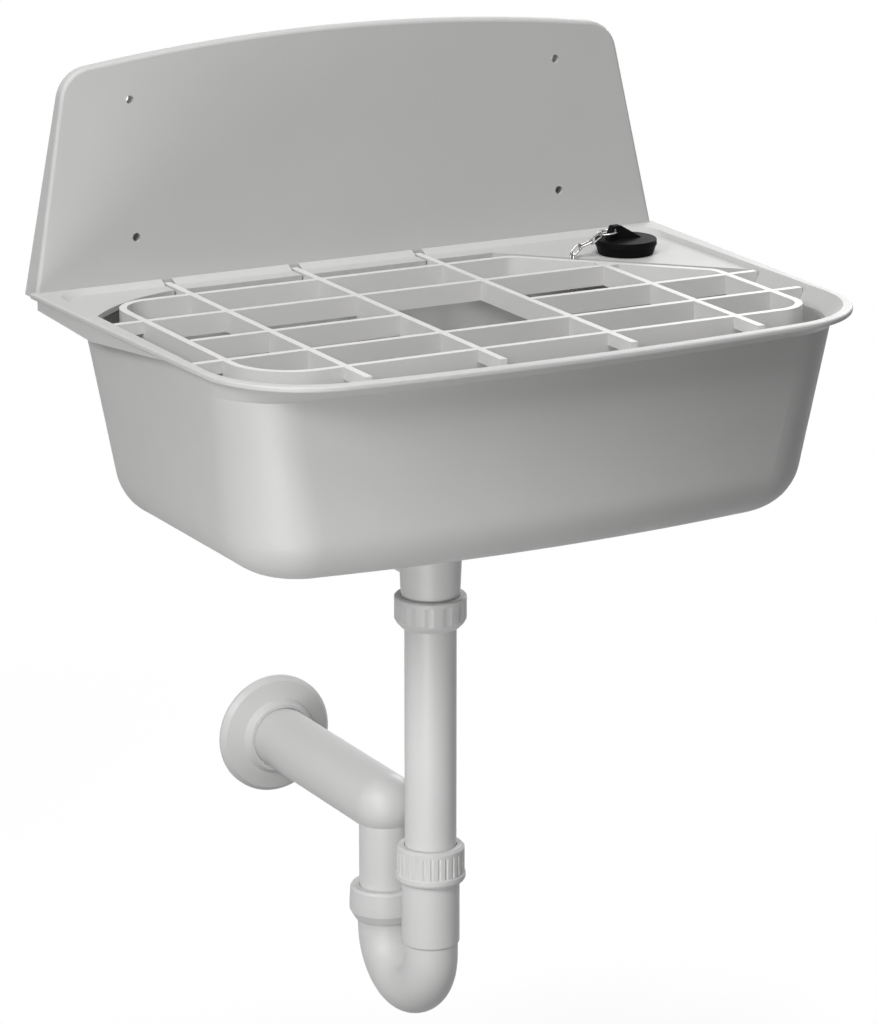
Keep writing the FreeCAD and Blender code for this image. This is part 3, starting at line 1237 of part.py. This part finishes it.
ring_end = ring.Placement.Base + ring.Placement.Rotation.multVec(Vector(-value("Dim.ring_mean"), 0, 0))
eye_end = Vector(*[value(text) for text in on_wall(eye_up, eye_foot + " + Dim.chain_eye")])
shelf_level = value("%s - Dim.shelf_drop + Dim.link_width / 2 + Dim.link_wire / 2" % RIM)
gap_x = value("Dim.gap_cross")
gap_y = value("Dim.shelf_reach - Dim.gap_cross")


def by_edge(right, front, up):
    """Point beside the place where the chain passes over the shelf's edge."""
    return Vector(gap_x + value(right), gap_y - value(front), shelf_level + value(up))


through = "(Dim.gap_middle / sqrt(2))"
way = [
    ring_end,
    by_edge("Dim.crest_out", "Dim.crest_front", "Dim.crest_rise"),
    by_edge("Dim.edge_out", "Dim.edge_front", "Dim.edge_rise"),
    by_edge("-Dim.turn_in", "Dim.turn_in", "-Dim.turn_drop"),
    by_edge("-" + through, through, "-Dim.gap_drop"),
    by_edge("-%s - Dim.hang_in" % through, through, "-Dim.hang_drop"),
    by_edge("-%s - Dim.swing_in" % through, through + " - Dim.swing_back", "-Dim.swing_drop"),
    Vector(0.5 * gap_x, 0.5 * (gap_y + eye_end.y), value(RIM) - value("Dim.chain_sag")),
    eye_end + Vector(value("Dim.eye_out"), -value("Dim.eye_front"), -value("Dim.eye_drop")),
    eye_end,
]
chain_curve = Part.BSplineCurve()
chain_curve.interpolate(way)
near_ring = value("(Dim.link_pitch + Dim.link_slack - Dim.ring_wire - Dim.link_slack) / 2")
near_eye = value("(Dim.link_pitch + Dim.link_slack - Dim.chain_eye / 2 - Dim.link_slack) / 2")
span = chain_curve.length() - near_ring - near_eye
count = 2 * math.ceil((span / value("Dim.link_pitch") + 1) / 2)
links = []
for number in range(count):
    distance = near_ring + span * number / (count - 1)
    parameter = chain_curve.parameterAtDistance(distance, chain_curve.FirstParameter)
    along = Vector(*chain_curve.tangent(parameter)[0]).normalize()
    sideways = Vector(0, 1, 0)
    sideways = (sideways - along * sideways.dot(along)).normalize()
    upwards = along.cross(sideways)
    width = upwards if number % 2 == 0 else sideways
    copy = doc.addObject("App::Link", "link_%d" % number)
    copy.LinkedObject = link_body
    copy.Placement = FreeCAD.Placement(chain_curve.value(parameter), FreeCAD.Rotation(along, width, along.cross(width)))
    links.append(copy)
chain = doc.addObject("Part::Compound", "chain")
chain.Links = links
doc.recompute()
keep(chain, "plug_chain")

doc.recompute()
for thing in doc.Objects:
    if "Invalid" in thing.State or "Error" in thing.State:
        raise RuntimeError("%s did not build" % thing.Name)
os.makedirs("parts", exist_ok=True)
for part in parts:
    shape = part.Shape
    if shape.isNull() or not shape.isValid() or not shape.Solids:
        raise RuntimeError("%s has no sound solid" % part.Label)
    shape.exportStep("parts/%s.step" % part.Label)
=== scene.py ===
"""Looks of the utility sink: materials, a copy of the chain, camera and soft studio light."""
import json
import math

import bpy
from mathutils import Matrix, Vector


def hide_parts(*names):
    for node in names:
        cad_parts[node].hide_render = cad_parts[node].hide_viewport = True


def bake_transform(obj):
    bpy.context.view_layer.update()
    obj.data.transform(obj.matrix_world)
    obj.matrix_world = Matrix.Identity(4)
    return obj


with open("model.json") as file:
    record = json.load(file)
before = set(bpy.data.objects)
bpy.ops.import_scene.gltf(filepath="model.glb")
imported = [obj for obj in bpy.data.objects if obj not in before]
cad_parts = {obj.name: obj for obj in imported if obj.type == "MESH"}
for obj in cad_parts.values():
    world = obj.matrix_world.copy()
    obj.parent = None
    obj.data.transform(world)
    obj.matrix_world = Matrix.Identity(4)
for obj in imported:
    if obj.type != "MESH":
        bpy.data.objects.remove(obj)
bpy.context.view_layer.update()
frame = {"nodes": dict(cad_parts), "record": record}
nodes = frame["nodes"]

# one finish per material slot: the two tones it drifts between, roughness, and the surface grain
FINISHES = {
    "basin_plastic": {
        "dark": (0.415, 0.413, 0.41), "light": (0.44, 0.438, 0.435),
        "rough": (0.5, 0.56), "grain": 900, "bump": 0.1,
    },
    "grate_plastic": {
        "dark": (0.55, 0.548, 0.54), "light": (0.59, 0.588, 0.58),
        "rough": (0.4, 0.5), "grain": 900, "bump": 0.1,
    },
    "white_plastic": {
        "dark": (0.65, 0.65, 0.645), "light": (0.675, 0.675, 0.67),
        "rough": (0.42, 0.46), "grain": 160, "bump": 0.01, "patch": 3,
    },
    "black_rubber": {
        "dark": (0.003, 0.003, 0.003), "light": (0.006, 0.006, 0.006),
        "rough": (0.45, 0.6), "grain": 1500, "bump": 0.25, "specular": 0.05,
    },
    "grey_rubber": {
        "dark": (0.04, 0.04, 0.04), "light": (0.07, 0.07, 0.07),
        "rough": (0.55, 0.75), "grain": 1500, "bump": 0.3,
    },
    "bright_metal": {
        "dark": (0.34, 0.335, 0.325), "light": (0.52, 0.515, 0.5),
        "rough": (0.2, 0.38), "grain": 1200, "bump": 0.1, "metallic": 1, "patch": 60,
    },
    "steel": {
        "dark": (0.5, 0.5, 0.49), "light": (0.64, 0.63, 0.62),
        "rough": (0.25, 0.4), "grain": 900, "bump": 0.1, "metallic": 1, "patch": 20, "stretch": (1, 12, 1),
    },
}
EVEN = (1, 1, 1)
NOISE_RANGE = (0.3, 0.7)
TONE_DETAIL = 3
GLOSS_DETAIL = 4
GRAIN_DETAIL = 2
GLOSS_PER_TONE = 7
GRAIN_HEIGHT = 0.0004

# floor well below the hung sink, and the sky's strength at the horizon and overhead
FLOOR_AT = (0, -0.1, -0.935)
FLOOR_SIDE = 60
FLOOR_LIT = 0.4
FLOOR_GLOW = 0.58
FLOOR_BOUNCE = 0.12
SHADOW_REACH = (0.7, 2.0)
SKY_STRENGTH = (0.22, 0.4)
WHITE = (1, 1, 1, 1)

# disk lamps: place and target in metres, power in watts; the side lamp's cone keeps off a swung pipe
LAMPS = {
    "key": {"place": (-2.25, -1.45, 1.3), "target": (0, -0.15, -0.1), "size": 1.0, "power": 50},
    "top": {"place": (-0.3, -1.0, 2.6), "target": (0, -0.15, 0), "size": 1.5, "power": 62},
    "side": {"place": (-0.6, -0.8, -0.5), "target": (-0.13, -0.3, -0.2), "size": 0.4, "power": 1.4, "cone": 1.8},
    "back": {"place": (1.8, 1.3, 0.6), "target": (0, -0.15, -0.2), "size": 1.0, "power": 22},
}

# camera at the photograph's angle
CAMERA_AT = (-1.5398, -3.0138, 0.6691)
CAMERA_TARGET = (-0.00805, -0.17, -0.2504)
LENS = 157.6
SENSOR_HEIGHT = 36
VIEW_END = 200


def link(tree, source, output, target, socket):
    """Joins an output to an input; sockets go by name, or by number where names repeat."""
    tree.links.new(source.outputs[output], target.inputs[socket])


def map_range(tree, source, output, before, after):
    """Number from a node, moved from one range to another."""
    node = tree.nodes.new("ShaderNodeMapRange")
    node.inputs["From Min"].default_value, node.inputs["From Max"].default_value = before
    node.inputs["To Min"].default_value, node.inputs["To Max"].default_value = after
    link(tree, source, output, node, "Value")
    return node


def noise(tree, scale, detail, stretch=EVEN):
    """Noise in the object's own space."""
    where = tree.nodes.new("ShaderNodeTexCoord")
    mapping = tree.nodes.new("ShaderNodeMapping")
    mapping.inputs["Scale"].default_value = stretch
    node = tree.nodes.new("ShaderNodeTexNoise")
    node.inputs["Scale"].default_value = scale
    node.inputs["Detail"].default_value = detail
    link(tree, where, "Object", mapping, "Vector")
    link(tree, mapping, "Vector", node, "Vector")
    return node


def finish(name, dark, light, rough, grain, bump, metallic=0, patch=6, stretch=EVEN, specular=0.5):
    """Material with slow tone changes, uneven gloss and a fine surface grain."""
    material = bpy.data.materials.new(name)
    material.use_nodes = True
    tree = material.node_tree
    shader = tree.nodes["Principled BSDF"]
    shader.inputs["Metallic"].default_value = metallic
    shader.inputs["Specular IOR Level"].default_value = specular
    tone = noise(tree, patch, TONE_DETAIL)
    mix = tree.nodes.new("ShaderNodeMix")
    mix.data_type = "RGBA"
    mix.inputs["A"].default_value = (*dark, 1)
    mix.inputs["B"].default_value = (*light, 1)
    link(tree, map_range(tree, tone, "Fac", NOISE_RANGE, (0, 1)), "Result", mix, "Factor")
    link(tree, mix, "Result", shader, "Base Color")
    gloss = noise(tree, patch * GLOSS_PER_TONE, GLOSS_DETAIL, stretch)
    link(tree, map_range(tree, gloss, "Fac", NOISE_RANGE, rough), "Result", shader, "Roughness")
    relief = tree.nodes.new("ShaderNodeBump")
    relief.inputs["Strength"].default_value = bump
    relief.inputs["Distance"].default_value = GRAIN_HEIGHT
    link(tree, noise(tree, grain, GRAIN_DETAIL, stretch), "Fac", relief, "Height")
    link(tree, relief, "Normal", shader, "Normal")
    return material


def larger(tree, first, first_output, second, second_output):
    """The larger of two numbers."""
    node = tree.nodes.new("ShaderNodeMath")
    node.operation = "MAXIMUM"
    link(tree, first, first_output, node, 0)
    link(tree, second, second_output, node, 1)
    return node


def seen_directly(tree):
    """1 for rays from the camera, and for mirrored and refracted ones; 0 for light on the part."""
    path = tree.nodes.new("ShaderNodeLightPath")
    mirrored = larger(tree, path, "Is Camera Ray", path, "Is Glossy Ray")
    return larger(tree, mirrored, "Value", path, "Is Transmission Ray")


def blend_shaders(tree, factor, output, first, second):
    """The first shader where the factor is 0, the second where it is 1."""
    mix = tree.nodes.new("ShaderNodeMixShader")
    link(tree, factor, output, mix, "Fac")
    link(tree, first, 0, mix, 1)
    link(tree, second, 0, mix, 2)
    return mix


def diffuse(tree, tone):
    """Plain grey shader."""
    node = tree.nodes.new("ShaderNodeBsdfDiffuse")
    node.inputs["Color"].default_value = (tone, tone, tone, 1)
    return node


def floor_material():
    """White floor with the part's shadow, plain white away from it; it throws little light back."""
    material = bpy.data.materials.new("pale_floor")
    material.use_nodes = True
    tree = material.node_tree
    tree.nodes.remove(tree.nodes["Principled BSDF"])
    glow = tree.nodes.new("ShaderNodeEmission")
    glow.inputs["Strength"].default_value = FLOOR_GLOW
    near = tree.nodes.new("ShaderNodeAddShader")
    link(tree, diffuse(tree, FLOOR_LIT), 0, near, 0)
    link(tree, glow, 0, near, 1)
    far = tree.nodes.new("ShaderNodeEmission")
    where = tree.nodes.new("ShaderNodeTexCoord")
    distance = tree.nodes.new("ShaderNodeVectorMath")
    distance.operation = "LENGTH"
    link(tree, where, "Object", distance, "Vector")
    fade = map_range(tree, distance, "Value", SHADOW_REACH, (0, 1))
    fade.interpolation_type = "SMOOTHSTEP"
    shown = blend_shaders(tree, fade, "Result", near, far)
    both = blend_shaders(tree, seen_directly(tree), "Value", diffuse(tree, FLOOR_BOUNCE), shown)
    link(tree, both, 0, tree.nodes["Material Output"], "Surface")
    return material


def surroundings():
    """World that lights the part more from above, and shows as white."""
    world = bpy.data.worlds.new("surroundings")
    world.use_nodes = True
    tree = world.node_tree
    where = tree.nodes.new("ShaderNodeTexCoord")
    direction = tree.nodes.new("ShaderNodeSeparateXYZ")
    link(tree, where, "Generated", direction, "Vector")
    sky = tree.nodes["Background"]
    sky.inputs["Color"].default_value = WHITE
    link(tree, map_range(tree, direction, "Z", (0, 1), SKY_STRENGTH), "Result", sky, "Strength")
    backdrop = tree.nodes.new("ShaderNodeBackground")
    backdrop.inputs["Color"].default_value = WHITE
    both = blend_shaders(tree, seen_directly(tree), "Value", sky, backdrop)
    link(tree, both, 0, tree.nodes["World Output"], "Surface")
    return world


def set_up(name, data, place, target):
    """Lamp or camera at a place, turned towards a target."""
    thing = bpy.data.objects.new(name, data)
    thing.location = place
    thing.rotation_euler = (Vector(target) - Vector(place)).to_track_quat("-Z", "Y").to_euler()
    bpy.context.scene.collection.objects.link(thing)
    return thing


def lamp(name, place, target, size, power, cone=math.pi):
    """Soft round lamp; the cone is the full angle that its light spreads over."""
    data = bpy.data.lights.new(name, "AREA")
    data.shape = "DISK"
    data.size = size
    data.energy = power
    data.spread = cone
    return set_up(name, data, place, target)


# materials, by the record's slots
looks = {slot: finish(slot, **values) for slot, values in FINISHES.items()}
slots = {piece["node"]: piece["material_slot"] for piece in frame["record"]["subparts"]}
for name, node in nodes.items():
    node.data.materials.clear()
    node.data.materials.append(looks[slots[name]])

# chain: a copy of its mesh takes the place of the imported part
chain = bpy.data.objects.new("chain", nodes["plug_chain"].data.copy())
bpy.context.scene.collection.objects.link(chain)
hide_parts("plug_chain")
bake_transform(chain)

# floor, surroundings and lamps
bpy.ops.mesh.primitive_plane_add(size=FLOOR_SIDE, location=FLOOR_AT)
floor = bpy.context.object
floor.name = "floor"
floor.data.materials.append(floor_material())
bpy.context.scene.world = surroundings()
for name, values in LAMPS.items():
    lamp(name, **values)

# camera
camera_data = bpy.data.cameras.new("camera")
camera_data.sensor_fit = "VERTICAL"
camera_data.sensor_height = SENSOR_HEIGHT
camera_data.lens = LENS
camera_data.clip_end = VIEW_END
bpy.context.scene.camera = set_up("camera", camera_data, CAMERA_AT, CAMERA_TARGET)
bpy.context.scene.view_settings.view_transform = "Standard"
